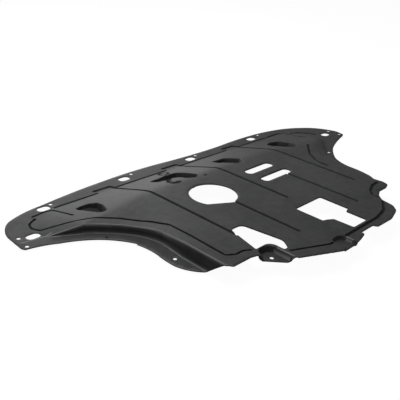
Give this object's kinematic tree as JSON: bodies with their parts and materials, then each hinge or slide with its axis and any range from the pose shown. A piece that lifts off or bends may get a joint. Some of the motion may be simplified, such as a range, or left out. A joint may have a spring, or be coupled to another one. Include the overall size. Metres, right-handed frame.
{
  "type": "engine splash shield",
  "caption": "Black moulded undercar splash shield with a raised floor, front ramp, side flanges, beads and service openings",
  "frame": {"origin": "Below the middle of the part's bounding box in plan, at the height of the lowest bead underside", "axes": "+Z is away from the road-facing underside of the lying part, so the road side is up; +Y points to the car's front edge of the sheet; +X runs across the car"},
  "size_m": [1.1518, 0.6168, 0.0382],
  "materials": {
    "shield_plastic": "matte, fine moulded grain"
  },
  "bodies": {
    "root": {"splash_shield": "shield_plastic"}
  },
  "joints": []
}
